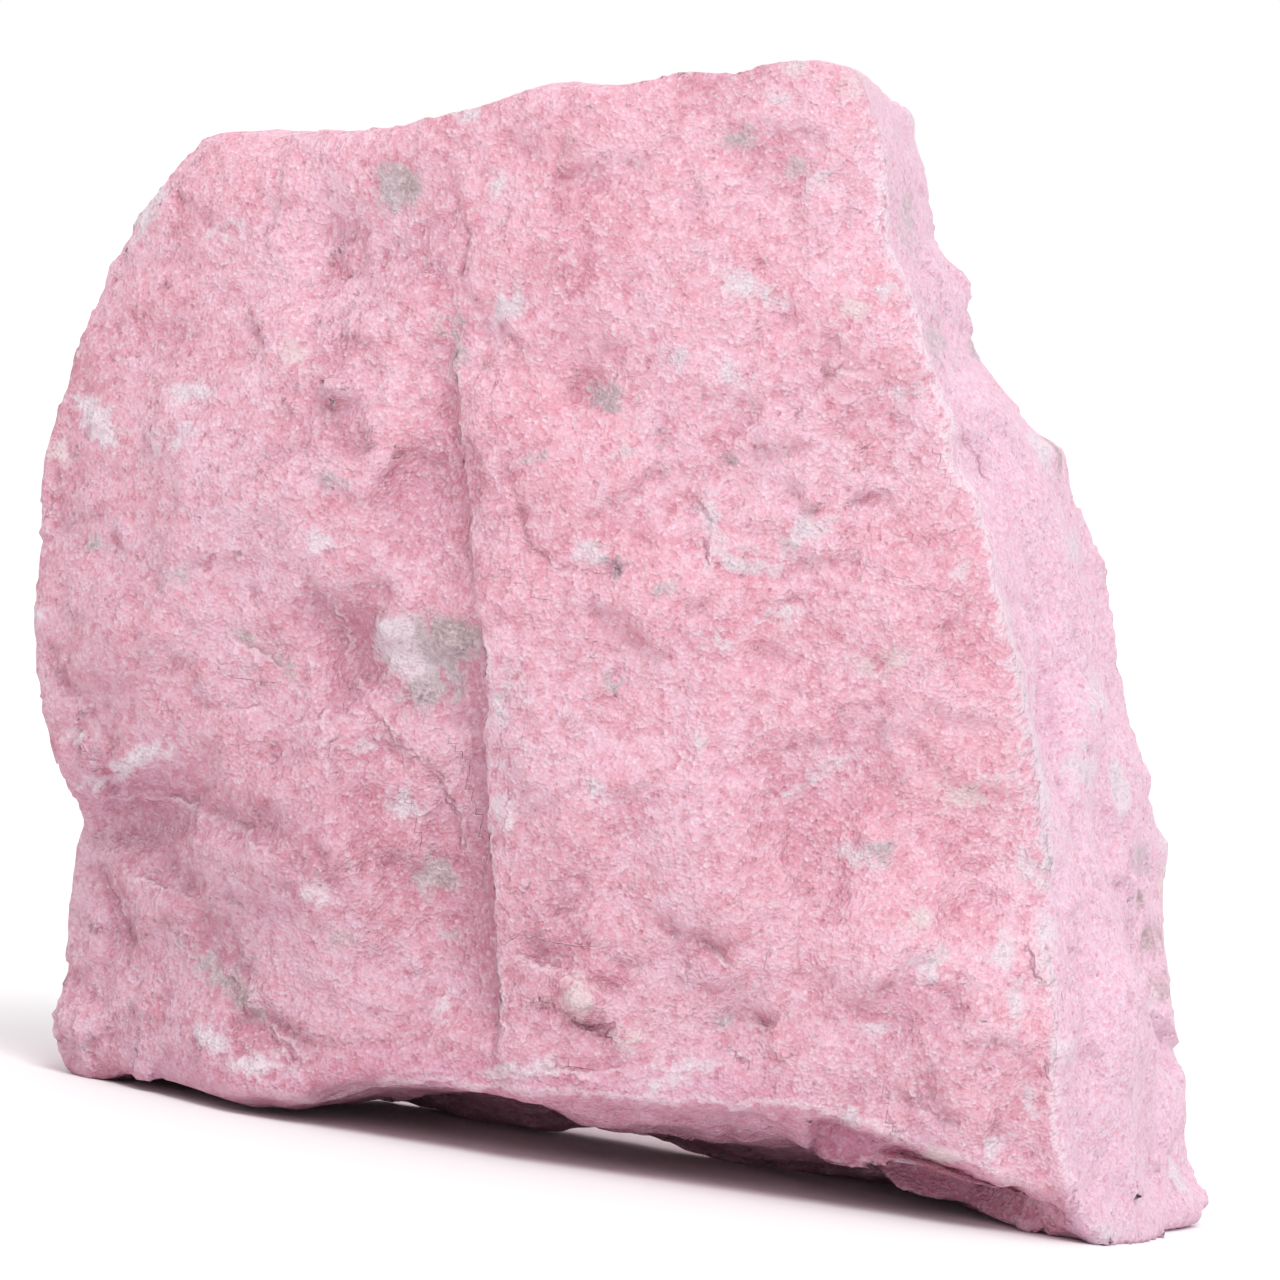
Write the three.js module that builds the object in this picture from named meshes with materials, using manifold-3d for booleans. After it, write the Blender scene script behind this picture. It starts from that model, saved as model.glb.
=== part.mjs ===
// A rough hand specimen of thulite: one broken block of pink, sugar-grained stone.
// Lengths are in millimetres and +Z is up. The stone stands on z = 0 with its broad face towards -Y.
import * as THREE from 'three';
import { ImprovedNoise } from 'three/addons/math/ImprovedNoise.js';
import { mergeVertices } from 'three/addons/utils/BufferGeometryUtils.js';
import Module from 'manifold-3d';

const { clamp, degToRad, smoothstep } = THREE.MathUtils;

// The stone is drawn as an eye in front of it sees it: [across, up, behind].
// Across and up are measured on a plane at the front of the stone, behind is the depth past that plane.
const EYE_DISTANCE = 450;
// The drawing leans by the first angle against the ground that the stone stands on, and looks down by
// the second.
const LEAN = degToRad(8.4);
const LOOK_DOWN = degToRad(3);
// How deep the lowest bumps are worn flat where the stone rests.
const WORN_FLAT = 0.3;

// Steps of the surface grid from left to right, from foot to crown and from front to back.
const STEPS_ACROSS = 38;
const STEPS_UP = 35;
const STEPS_DEEP = 14;
// Above 1 the steps are finer towards the front.
const FINER_IN_FRONT = 1.35;

// Roughness of the broken faces: how far the surface strays, and over what length.
const ROUGHNESS = [
  { height: 0.9, length: 8 },
  { height: 0.6, length: 4 },
  { height: 0.3, length: 2.2 },
];
// The drawn edges keep this part of the roughness, and all of it is back at this share of the grid.
const EDGE_ROUGHNESS = 0.15;
const EDGE_SHARE = 0.08;

const frontTopLeft = [-16.6, 20.1, 11];
const frontTopRight = [8.6, 22.6, 1.5];
const frontFootLeft = [-23.0, -17.3, 11];
const frontFootRight = [18.3, -24.1, 2.5];
const backTopLeft = [-10.5, 17.8, 22];
const backTopRight = [10.6, 20.9, 18];
const backFootLeft = [-19.5, -17.0, 19];
const backFootRight = [22.4, -23.3, 17];

// Edges that run from left to right.
const frontTopEdge = [
  frontTopLeft, [-15.0, 20.1, 9.5], [-12.4, 20.2, 7.2], [-9.8, 20.5, 5], [-7.6, 21.1, 3.4],
  [-5.6, 21.6, 2.4], [-3.2, 22, 1.6], [0.8, 22.4, 1], [3.2, 22.9, 0.9], [5.4, 23.2, 0.8],
  [7.6, 23.1, 0.9], frontTopRight,
];
const frontFootEdge = [
  frontFootLeft, [-20.8, -17.5, 9], [-18.4, -17.7, 7], [-16, -18.2, 4.5], [-14, -18.1, 3.8],
  [-12.4, -17.7, 3.2], [-10.8, -17.4, 2.8], [-8.8, -17.7, 2.3], [-5.6, -18.2, 1.7],
  [-1.6, -18.3, 1.3], [0.4, -18.6, 1.2], [3.2, -18.6, 1.1], [5.6, -19.2, 1], [7, -19.8, 0.9],
  [9.2, -20.4, 1.4], [10.8, -20.7, 1.6], [12.8, -21.4, 1.7], [14.4, -22.1, 1.8], [16.4, -22.5, 2],
  [17.4, -23.4, 2.4], frontFootRight,
];
const backTopEdge = [
  backTopLeft, [-8.5, 17.6, 23.2], [-5.5, 18.6, 23], [-3, 18.4, 24.2], [0.5, 19.6, 23.4],
  [3.5, 19.4, 22], [6, 20.3, 21.8], [8.4, 20.4, 19.6], backTopRight,
];
const backFootEdge = [
  backFootLeft, [-13.6, -17.9, 19], [-8, -18.7, 19], [-5, -19.3, 18.5], [-3.2, -19.2, 18],
  [0.6, -19.7, 17], [2.4, -20.7, 15.5], [4.8, -21.1, 15.5], [9.6, -21.4, 17], [14, -22.3, 16.5],
  [18, -23.0, 17], backFootRight,
];

// Edges that run from the foot to the crown, drawn here from the top down.
const frontLeftEdge = [
  frontTopLeft, [-18, 19.5, 11], [-19, 18.2, 11], [-20.6, 15.8, 11.5], [-21.5, 13.7, 11.5],
  [-22.4, 12.2, 11.5], [-23.2, 9.8, 11.5], [-23.8, 7.6, 11], [-23.9, 4.8, 10.5], [-24.2, 1.8, 10],
  [-24.1, -1.2, 9.5], [-23.7, -3.4, 9], [-22.8, -5.8, 9], [-22.3, -7.2, 10.5],
  [-22.6, -10, 12], [-23, -12.6, 12], [-23.2, -14.4, 11.5], [-23.6, -15.1, 11],
  [-23.4, -16.4, 11], frontFootLeft,
];
const frontRightEdge = [
  frontTopRight, [9.1, 20.8, 1.2], [9.4, 19, 1], [9.5, 17.4, 1], [9.3, 16.1, 1],
  [9.9, 14.8, 0.9], [10.6, 13.4, 0.8], [10.9, 11.6, 0.7], [11.6, 9.8, 0.6], [12.3, 8.6, 0.6],
  [12.4, 6.9, 0.8], [13, 6, 0.8], [13.5, 4.2, 1], [14.3, 2.2, 1], [14.6, 0, 1.3],
  [15.1, -2.3, 1.6], [15.6, -4.8, 2.2], [16.1, -7.6, 2.6], [16.4, -10, 2.5], [16.7, -12.8, 2],
  [16.9, -16.4, 1.4], [17, -19.6, 1.2], [17.3, -22, 1.4], frontFootRight,
];
const backLeftEdge = [
  backTopLeft, [-12.2, 15.4, 21.4], [-14.8, 13, 22.8], [-15.2, 9.4, 23.2], [-17.8, 6.6, 22.6],
  [-18.4, 2.6, 24], [-19.8, -0.4, 23.2], [-19.6, -4.4, 24], [-20.8, -8, 22.6], [-20.2, -11, 22],
  [-20.8, -14.6, 20.2], backFootLeft,
];
const backRightEdge = [
  backTopRight, [11, 19.6, 18], [11.4, 18, 18], [12.1, 15.4, 19], [13.3, 14.1, 20],
  [13.2, 13.2, 20], [13.5, 11.8, 20], [14, 10.8, 19.5], [14.8, 9.6, 19], [15.8, 8, 19],
  [16.9, 7.2, 20], [17.7, 4.8, 20.5], [18.7, 2.6, 21], [19.1, -0.4, 21], [19.4, -2.8, 21],
  [20.1, -5.4, 21], [20.2, -6.8, 21], [21, -8.6, 22], [20.8, -10, 22], [21.1, -13.2, 22],
  [21.5, -17.6, 21], [21.6, -19.6, 20], [21.9, -21, 19], [22.8, -21.9, 18], [22.9, -22.6, 17.5],
  backFootRight,
];

// Edges that run from front to back.
const topLeftEdge = [frontTopLeft, [-14.5, 19.3, 16], backTopLeft];
const topRightEdge = [frontTopRight, [8.9, 22.6, 3], [9.6, 22, 8], backTopRight];
const footLeftEdge = [frontFootLeft, [-22, -17.3, 14], backFootLeft];
const footRightEdge = [
  frontFootRight, [20.2, -24.1, 7], [21.2, -23.8, 12], [21.9, -23.5, 15], backFootRight,
];

// A line through drawn points, read by the share of its length. Its bends can also be read smoothed
// over, which is how they die out away from the edge.
const SMOOTHED_SHARE = 0.16;
const SMOOTHING_STEPS = 4;

function lineThrough(points) {
  const corners = points.map((point) => new THREE.Vector3(...point));
  const reached = [0];
  corners.slice(1).forEach((end, i) => reached.push(reached[i] + end.distanceTo(corners[i])));
  const total = reached[reached.length - 1];
  const sharp = (share) => {
    const wanted = clamp(share, 0, 1) * total;
    const next = Math.max(1, reached.findIndex((length) => length >= wanted));
    const part = (wanted - reached[next - 1]) / (reached[next] - reached[next - 1]);
    return corners[next - 1].clone().lerp(corners[next], part);
  };
  const smooth = (share) => {
    const reach = Math.min(SMOOTHED_SHARE, share, 1 - share);
    const sum = new THREE.Vector3();
    for (let i = -SMOOTHING_STEPS; i <= SMOOTHING_STEPS; i += 1) {
      sum.add(sharp(share + (reach * i) / SMOOTHING_STEPS));
    }
    return sum.divideScalar(2 * SMOOTHING_STEPS + 1);
  };
  return { sharp, smooth };
}

const upwards = (points) => lineThrough([...points].reverse());

// The block's twelve edges, each with its ends on the two other axes of the grid, 0 or 1.
const blockEdges = {
  across: [
    { line: lineThrough(frontFootEdge), ends: [0, 0] },
    { line: lineThrough(backFootEdge), ends: [0, 1] },
    { line: lineThrough(frontTopEdge), ends: [1, 0] },
    { line: lineThrough(backTopEdge), ends: [1, 1] },
  ],
  up: [
    { line: upwards(frontLeftEdge), ends: [0, 0] },
    { line: upwards(backLeftEdge), ends: [0, 1] },
    { line: upwards(frontRightEdge), ends: [1, 0] },
    { line: upwards(backRightEdge), ends: [1, 1] },
  ],
  deep: [
    { line: lineThrough(footLeftEdge), ends: [0, 0] },
    { line: lineThrough(topLeftEdge), ends: [0, 1] },
    { line: lineThrough(footRightEdge), ends: [1, 0] },
    { line: lineThrough(topRightEdge), ends: [1, 1] },
  ],
};
// The power of nearness by which an edge's bends die out inwards.
const BEND_FADE = 5;

const nearness = (end, share) => (end ? share : 1 - share);

// A point of the block's skin between its twelve edges. The shares of the grid run from 0 to 1.
function betweenEdges(across, up, deep) {
  const sum = new THREE.Vector3();
  const addEdges = (edges, along, first, second) => {
    for (const { line, ends } of edges) {
      const weight = nearness(ends[0], first) * nearness(ends[1], second);
      if (weight > 0) {
        const smooth = line.smooth(along);
        const bend = line.sharp(along).sub(smooth);
        sum.addScaledVector(smooth, weight).addScaledVector(bend, weight ** BEND_FADE);
      }
    }
  };
  addEdges(blockEdges.across, across, up, deep);
  addEdges(blockEdges.up, up, across, deep);
  addEdges(blockEdges.deep, deep, across, up);
  for (const { line, ends } of blockEdges.across) {
    const weight = nearness(ends[0], up) * nearness(ends[1], deep);
    sum.addScaledVector(line.sharp(0), -2 * weight * (1 - across));
    sum.addScaledVector(line.sharp(1), -2 * weight * across);
  }
  return sum;
}

// Lumps (height above 0) and hollows (below 0) of a face: where they are, half their size, and height.
// Places on the front are [across, up], and height is towards the eye.
const frontLumps = [
  { at: [-15, 9], size: [4.5, 5], height: 0.9 },
  { at: [-12.6, 15.2], size: [1.8, 2.6], height: -1.2 },
  { at: [-9.2, 16.4], size: [1.8, 1.6], height: -0.8 },
  { at: [-4.2, 19.2], size: [2, 1.4], height: -0.8 },
  { at: [-19.6, 13.6], size: [1.8, 2.6], height: -0.8 },
  { at: [-7.4, 13], size: [1.2, 2.4], height: -0.7 },
  { at: [-2, 10], size: [2.2, 1.5], height: -0.9 },
  { at: [3.5, 13.5], size: [5, 5], height: 0.5 },
  { at: [8, 18], size: [2.4, 4], height: -0.6 },
  { at: [-20.5, 1], size: [3.2, 3.5], height: 1.1 },
  { at: [-20.2, -6.9], size: [2.6, 1.5], height: -2.3 },
  { at: [-21.8, -2.2], size: [1.2, 1.5], height: -0.8 },
  { at: [-14.5, -8.5], size: [4, 3], height: 1.2 },
  { at: [-12, -2.6], size: [2, 1.5], height: 0.6 },
  { at: [-10, -1.4], size: [2.6, 1.9], height: -1.5 },
  { at: [-10.6, -5.4], size: [1.8, 1.4], height: -0.9 },
  { at: [-8.6, -10.6], size: [2, 3.2], height: -1.2 },
  { at: [-15, -13.5], size: [2, 2.5], height: -0.7 },
  { at: [-3.4, -4.5], size: [1.8, 4.5], height: 0.9 },
  { at: [5, -0.7], size: [1.1, 1], height: -0.9 },
  { at: [6.6, -9.5], size: [1.5, 4.5], height: -0.9 },
  { at: [2.2, -7.5], size: [2.6, 3], height: 0.6 },
  { at: [13.2, -10.5], size: [2, 2.2], height: -1.1 },
  { at: [12.2, -17], size: [2.4, 2.4], height: 0.8 },
  { at: [3.4, -15.6], size: [2.2, 1.4], height: -0.9 },
  { at: [-2.6, -14.6], size: [1.4, 1.2], height: 0.9 },
  { at: [9.5, -13.5], size: [2, 2], height: 0.5 },
];
// Places on the right-hand face are [behind, up], and height is towards the right.
const rightLumps = [
  { at: [5, 14], size: [2.5, 6], height: -1 },
  { at: [6, 5], size: [2.4, 4], height: -1.2 },
  { at: [8, -4], size: [2.6, 5], height: -1.3 },
  { at: [13.5, 3], size: [3, 7], height: 1.3 },
  { at: [17, 12], size: [3, 3], height: -0.8 },
  { at: [13, -9], size: [2.5, 3], height: -1.1 },
  { at: [9, -16], size: [4, 3.5], height: 1.1 },
  { at: [17, -14], size: [2.5, 3.5], height: -1 },
  { at: [18, -4], size: [3, 3], height: 0.6 },
];
// Places on the left-hand face are [behind, up], and height is towards the left.
const leftLumps = [
  { at: [18, 5], size: [3, 7], height: 1.2 },
  { at: [17, -9], size: [3, 4], height: -1.1 },
  { at: [15, 14], size: [3, 4], height: -0.7 },
];
// Places on the back are [across, up], and height is away from the front.
const backLumps = [
  { at: [2, -1], size: [11, 12], height: 3.4 },
  { at: [-10, 6], size: [5, 6], height: 1.6 },
  { at: [9, 9], size: [4, 6], height: -1.6 },
  { at: [-6, -10], size: [6, 4], height: -1.5 },
  { at: [12, -10], size: [5, 4], height: 1.2 },
  { at: [-1, 13], size: [4, 3], height: -0.9 },
];
// Places on the crown are [across, behind], and height is up.
const crownLumps = [
  { at: [0, 7], size: [8, 4], height: 0.6 },
  { at: [-8, 14], size: [4, 4], height: -1.1 },
  { at: [3, 17], size: [4, 3], height: -1 },
];
// Places on the foot are [across, behind], and height is down.
const footLumps = [
  { at: [-6, 9], size: [7, 3.5], height: -0.9 },
  { at: [-4.5, 16.6], size: [3, 1.8], height: 0.6 },
  { at: [8, 7.5], size: [4, 3], height: -0.7 },
  { at: [13.5, 12.5], size: [3, 2], height: -0.8 },
  { at: [-18, 15], size: [3, 2.5], height: -0.6 },
];

// Ledges, where a flake has come away beside a line. The surface drops on the left of the line, walking
// along it, and comes back to the face over the run.
const frontLedges = [
  { line: [[-6.4, 1], [-6.8, 4.6], [-7.2, 8.4], [-7.4, 12.8]], drop: 1.3, run: 3 },
  { line: [[-5.5, -17], [-5.8, -12.4], [-5.9, -8.4], [-6.1, -3], [-6.4, 3]], drop: 2, run: 4.5 },
  { line: [[-8, -4], [-10.6, -1], [-13, 1.8]], drop: 0.8, run: 2 },
  { line: [[0.2, -15.3], [-2.6, -13.4], [-5.4, -12.2]], drop: 0.9, run: 1.8 },
  { line: [[5.6, -15.6], [3.2, -13], [0.6, -11.6]], drop: 0.8, run: 1.8 },
  { line: [[12.8, -20], [11.4, -18.2], [10.6, -16]], drop: 0.9, run: 1.6 },
  { line: [[3.2, 2], [2.8, 5], [1.8, 7.4]], drop: 0.6, run: 1.6 },
  { line: [[-20, -15], [-21, -11], [-22.4, -8.4]], drop: 0.8, run: 1.6 },
];
const rightLedges = [
  { line: [[3, 15], [7, 8], [9, 2], [12, -2], [14, -8]], drop: 1.2, run: 3.5 },
  { line: [[5, -20], [4.5, -12], [4.2, -4], [3, 1]], drop: 0.9, run: 3 },
];
const backLedges = [
  { line: [[-6, 17], [-3, 9], [1, 2], [6, -5], [9, -14]], drop: 1.9, run: 6 },
  { line: [[3, -16], [-2, -8], [-9, -3], [-17, -1]], drop: 1.4, run: 5 },
  { line: [[16, -2], [10, 2], [6, 7]], drop: 0.9, run: 3 },
];
// The slab under the right-hand half of the foot, set back under the front edge.
const footLedges = [
  { line: [[7.2, 7.5], [10.5, 4.6], [13.4, 3.6], [16, 3], [18, 2.4]], drop: -1.35, run: 4 },
];
// How wide a ledge's brink is, and the shares of its line between which it dies out at its ends.
const BRINK = 0.9;
const LEDGE_END = [-0.1, 0.2];

const lumpsAt = (lumps, x, y) =>
  lumps.reduce((sum, { at, size, height }) => {
    const away = ((x - at[0]) / size[0]) ** 2 + ((y - at[1]) / size[1]) ** 2;
    return sum + height * Math.exp(-away);
  }, 0);

// The nearest place on a line: how far it is, which side the point is on, and the share of the line.
function fromLine(line, x, y) {
  const pieces = line.slice(1).map((end, i) => {
    const [startX, startY] = line[i];
    const [runX, runY] = [end[0] - startX, end[1] - startY];
    const along = ((x - startX) * runX + (y - startY) * runY) / (runX * runX + runY * runY);
    const part = clamp(along, 0, 1);
    const [offX, offY] = [x - startX - part * runX, y - startY - part * runY];
    return {
      distance: Math.hypot(offX, offY),
      onLeft: runX * offY - runY * offX > 0,
      share: (i + part) / (line.length - 1),
    };
  });
  return pieces.reduce((best, piece) => (piece.distance < best.distance ? piece : best));
}

const ledgesAt = (ledges, x, y) =>
  ledges.reduce((sum, { line, drop, run }) => {
    const { distance, onLeft, share } = fromLine(line, x, y);
    if (!onLeft) return sum;
    const ends = smoothstep(Math.min(share, 1 - share), ...LEDGE_END);
    return sum - drop * ends * smoothstep(distance, 0, BRINK) * Math.exp(-distance / run);
  }, 0);

// How much of a face's relief a grid point takes: all of it on the face, none this share of the way in.
const FACE_SHARE = 0.2;
const onFace = (share) => clamp(1 - share / FACE_SHARE, 0, 1);
// Relief that would push a drawn edge out of its place fades over this share towards it.
const GUARD_SHARE = 0.14;
const offEdge = (share) => Math.min(1, share / GUARD_SHARE, (1 - share) / GUARD_SHARE);

function carved(across, up, deep) {
  const drawn = betweenEdges(across, up, deep);
  const { x, y, z } = drawn;
  const front = lumpsAt(frontLumps, x, y) + ledgesAt(frontLedges, x, y);
  const back = lumpsAt(backLumps, x, y) + ledgesAt(backLedges, x, y);
  const right = lumpsAt(rightLumps, z, y) + ledgesAt(rightLedges, z, y);
  const foot = lumpsAt(footLumps, x, z) + ledgesAt(footLedges, x, z);
  drawn.z -= onFace(deep) * front;
  drawn.z += onFace(1 - deep) * offEdge(up) * offEdge(across) * back;
  drawn.x += onFace(1 - across) * offEdge(deep) * right;
  drawn.x -= onFace(across) * offEdge(deep) * lumpsAt(leftLumps, z, y);
  drawn.y += onFace(1 - up) * offEdge(deep) * lumpsAt(crownLumps, x, z);
  drawn.y -= onFace(up) * offEdge(deep) * foot;
  return drawn;
}

// A drawn point at its real place: x across, y behind, z up, wider apart the farther it is from the eye.
function placed([across, up, behind]) {
  const spread = 1 + behind / EYE_DISTANCE;
  return new THREE.Vector3(across * spread, behind, up * spread);
}

// How far a grid point is from the nearest of the block's edges, as a share of the grid.
const fromEdge = (shares) =>
  shares.map((share) => Math.min(share, 1 - share)).sort((first, second) => first - second)[1];

// Moves each vertex along its normal by the roughness of a broken face, and less near the drawn edges.
function roughen(geometry, amounts) {
  const noise = new ImprovedNoise();
  geometry.computeVertexNormals();
  const { position, normal } = geometry.attributes;
  const at = new THREE.Vector3();
  const out = new THREE.Vector3();
  for (let i = 0; i < position.count; i += 1) {
    at.fromBufferAttribute(position, i);
    out.fromBufferAttribute(normal, i);
    const lift = ROUGHNESS.reduce((sum, { height, length }, layer) => {
      const wave = noise.noise(at.x / length + 7 * layer, at.y / length, at.z / length);
      return sum + height * wave;
    }, 0);
    at.addScaledVector(out, lift * amounts[i]);
    position.setXYZ(i, at.x, at.y, at.z);
  }
}

const positionsOnly = (geometry) => {
  geometry.deleteAttribute('normal');
  geometry.deleteAttribute('uv');
  return mergeVertices(geometry, 1e-5);
};

function blockGeometry() {
  const block = positionsOnly(new THREE.BoxGeometry(1, 1, 1, STEPS_ACROSS, STEPS_UP, STEPS_DEEP));
  const { position } = block.attributes;
  const amounts = [];
  for (let i = 0; i < position.count; i += 1) {
    const deep = Math.max(0, 0.5 - position.getZ(i)) ** FINER_IN_FRONT;
    const shares = [position.getX(i) + 0.5, position.getY(i) + 0.5, deep];
    position.setXYZ(i, ...placed(carved(...shares).toArray()).toArray());
    amounts.push(EDGE_ROUGHNESS + (1 - EDGE_ROUGHNESS) * smoothstep(fromEdge(shares), 0, EDGE_SHARE));
  }
  roughen(block, amounts);
  return block;
}

// The turns that stand the drawn stone up.
const seating = new THREE.Matrix4()
  .makeRotationX(-LOOK_DOWN)
  .multiply(new THREE.Matrix4().makeRotationY(-LEAN));

// The ground under the stone, as a block wider than the stone, in the drawing's frame.
const GROUND_SIZE = 100;

function groundGeometry(block) {
  const standing = block.clone().applyMatrix4(seating);
  standing.computeBoundingBox();
  const level = standing.boundingBox.min.z + WORN_FLAT;
  const ground = new THREE.BoxGeometry(GROUND_SIZE, GROUND_SIZE, GROUND_SIZE);
  ground.translate(0, 0, level - GROUND_SIZE / 2);
  return positionsOnly(ground.applyMatrix4(seating.clone().invert()));
}

// The notch between the front edge of the foot and the slab under it, narrowing to the left.
const NOTCH = { at: [12.2, -21.4, 3.6], half: [4.8, 0.55, 1.6], fall: degToRad(17) };

function notchGeometry() {
  const notch = new THREE.IcosahedronGeometry(1, 3);
  notch.scale(NOTCH.half[0], NOTCH.half[2], NOTCH.half[1]);
  notch.rotateY(NOTCH.fall);
  notch.translate(...placed(NOTCH.at).toArray());
  return positionsOnly(notch);
}

const wasm = await Module();
wasm.setup();

function toSolid(geometry) {
  const vertProperties = new Float32Array(geometry.attributes.position.array);
  const triVerts = new Uint32Array(geometry.index.array);
  return new wasm.Manifold(new wasm.Mesh({ numProp: 3, vertProperties, triVerts }));
}

function toGeometry(solid) {
  const { vertProperties, triVerts } = solid.getMesh();
  const geometry = new THREE.BufferGeometry();
  geometry.setAttribute('position', new THREE.BufferAttribute(vertProperties, 3));
  geometry.setIndex(new THREE.BufferAttribute(triVerts, 1));
  return geometry;
}

function stoneGeometry() {
  const block = blockGeometry();
  const worn = toSolid(block).subtract(toSolid(groundGeometry(block)));
  return toGeometry(worn.subtract(toSolid(notchGeometry())));
}

const stoneMaterial = new THREE.MeshStandardMaterial({
  color: new THREE.Color(0.82, 0.48, 0.58),
  roughness: 0.85,
  metalness: 0,
  flatShading: true,
});

const stone = new THREE.Mesh(stoneGeometry(), stoneMaterial);
stone.name = 'thulite_stone';

// The stone stands up in two turns, then its middle goes over the origin and its foot to z = 0.
const leaned = new THREE.Group();
leaned.rotation.y = -LEAN;
leaned.add(stone);
const levelled = new THREE.Group();
levelled.rotation.x = -LOOK_DOWN;
levelled.add(leaned);

const specimen = new THREE.Group();
specimen.add(levelled);
const reach = new THREE.Box3().setFromObject(specimen, true);
levelled.position.set(-(reach.min.x + reach.max.x) / 2, -(reach.min.y + reach.max.y) / 2, -reach.min.z);

export default specimen;
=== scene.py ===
import math
import random

import bpy
import numpy as np
from mathutils import Matrix, Vector, kdtree, noise


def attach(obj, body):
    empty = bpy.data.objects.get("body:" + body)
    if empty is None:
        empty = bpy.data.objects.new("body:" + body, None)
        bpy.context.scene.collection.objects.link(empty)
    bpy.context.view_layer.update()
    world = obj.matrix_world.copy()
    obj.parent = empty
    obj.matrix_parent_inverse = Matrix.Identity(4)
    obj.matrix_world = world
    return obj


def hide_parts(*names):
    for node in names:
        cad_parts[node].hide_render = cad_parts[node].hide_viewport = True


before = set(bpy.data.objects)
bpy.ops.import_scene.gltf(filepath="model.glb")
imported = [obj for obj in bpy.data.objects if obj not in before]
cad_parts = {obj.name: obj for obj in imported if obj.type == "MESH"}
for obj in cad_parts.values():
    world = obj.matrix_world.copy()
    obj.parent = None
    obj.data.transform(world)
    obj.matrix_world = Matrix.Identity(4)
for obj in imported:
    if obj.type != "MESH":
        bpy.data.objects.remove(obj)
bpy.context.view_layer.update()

# a rough block of pink thulite on a pale floor, seen as in the photo
# all lists below are in mm, the scene is in metres
mm = 0.001
noise.seed_set(5)  # without a seed, noise_vector differs from run to run

# the photo's view: an eye in front of the stone, and places seen from it as [across, up, behind]
view = {
    "eye": 450.0,                         # from the eye to the front of the stone
    "lean": math.radians(8.4),            # roll of the camera
    "lookDown": math.radians(3.0),
    "middle": (-0.841, -12.804, 21.560),  # what the middle of the picture looks at
    "pictureWidth": 51.2,                 # at the front of the stone
    "frontDepth": 8,                      # the front's own edges lie no further behind
    "shownDepth": 24,                     # nothing that is drawn from the photo lies further behind
}
turn = np.array(
    Matrix.Rotation(-view["lookDown"], 3, "X") @ Matrix.Rotation(-view["lean"], 3, "Y")
)


# places in the photo's view, in mm, of points in metres
def asSeen(points):
    local = (points / mm - np.array(view["middle"])) @ turn
    spread = 1 + local[:, 1] / view["eye"]
    return local[:, 0] / spread, local[:, 2] / spread, local[:, 1]


def selectOnly(obj):
    bpy.ops.object.select_all(action="DESELECT")
    obj.select_set(True)
    bpy.context.view_layer.objects.active = obj


def applyModifier(obj, kind, **settings):
    selectOnly(obj)
    modifier = obj.modifiers.new(kind.title(), kind)
    for key, value in settings.items():
        setattr(modifier, key, value)
    bpy.ops.object.modifier_apply(modifier=modifier.name)


def readPoints(obj, what="co"):
    flat = np.empty(len(obj.data.vertices) * 3)
    obj.data.vertices.foreach_get(what, flat)
    return flat.reshape(-1, 3)


def writePoints(obj, points):
    obj.data.vertices.foreach_set("co", points.ravel())
    obj.data.update()


# how much each point of a mesh faces the eye, from -1 to 1
def towardsEye(obj):
    return -(readPoints(obj, "normal") @ turn)[:, 1]


def smoothStep(value, low, high):
    part = np.clip((value - low) / (high - low), 0, 1)
    return part * part * (3 - 2 * part)


# a share lifted so that it is never under some least value
def atLeast(least, share):
    return least + (1 - least) * share


# camera first
print("camera")
cameraData = bpy.data.cameras.new("camera")
camera = bpy.data.objects.new("camera", cameraData)
bpy.context.collection.objects.link(camera)
bpy.context.scene.camera = camera
cameraData.sensor_width = 36
cameraData.lens = cameraData.sensor_width * view["eye"] / view["pictureWidth"]
cameraData.clip_start = 0.01
cameraData.clip_end = 20
toWorld = Matrix(turn.tolist())
eyePlace = toWorld @ Vector((0, -view["eye"], 0)) + Vector(view["middle"])
camera.matrix_world = (
    Matrix.Translation(eyePlace * mm)
    @ toWorld.to_4x4()
    @ Matrix.Rotation(math.radians(90), 4, "X")
)

# the stone: the frame's block, remeshed fine, then broken up
stoneSizes = {
    "merge": 0.002,            # corners of the frame's triangles this near are one
    "voxel": 0.30,             # size of the fine mesh
    "smooth": 5,               # passes that take the frame's facets out
    "crestSmooth": 0.25,       # a crest's share of them
    "crestReach": (0.2, 1.4),  # how far from a crest it starts to fade, and is gone
    "calm": 45,                # passes that flatten the frame's lumps between the edges
    "grow": 0.12,              # what the smoothing took off
    "wander": 0.20,            # how far drawn lines stray, so that none looks ruled
    "wanderLength": 1.3,
    "crestRough": 0.45,        # what is left of the flakes and roughness on a crest
    "edgeOnRough": 0.45,       # and where the eye sees the surface edge on
    "settle": 0.3,             # strength of the last smoothing pass
}
print("stone: fine mesh of the frame's block")
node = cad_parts["thulite_stone"]
stone = bpy.data.objects.new("thuliteStone", node.data.copy())
bpy.context.collection.objects.link(stone)
stone.data.materials.clear()
selectOnly(stone)
bpy.ops.object.mode_set(mode="EDIT")
bpy.ops.mesh.select_all(action="SELECT")
bpy.ops.mesh.remove_doubles(threshold=stoneSizes["merge"] * mm)
bpy.ops.object.mode_set(mode="OBJECT")
applyModifier(stone, "REMESH", mode="VOXEL", voxel_size=stoneSizes["voxel"] * mm, adaptivity=0)

# flakes: patches of the surface that broke at their own slant, with small brinks between them
flakes = [
    {"size": 4.6, "slant": 0.040, "step": 0.065, "warp": 0.9, "seed": 3},
    {"size": 1.9, "slant": 0.065, "step": 0.045, "warp": 0.45, "seed": 8},
    {"size": 0.9, "slant": 0.065, "step": 0.020, "warp": 0.25, "seed": 21},
]
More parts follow.
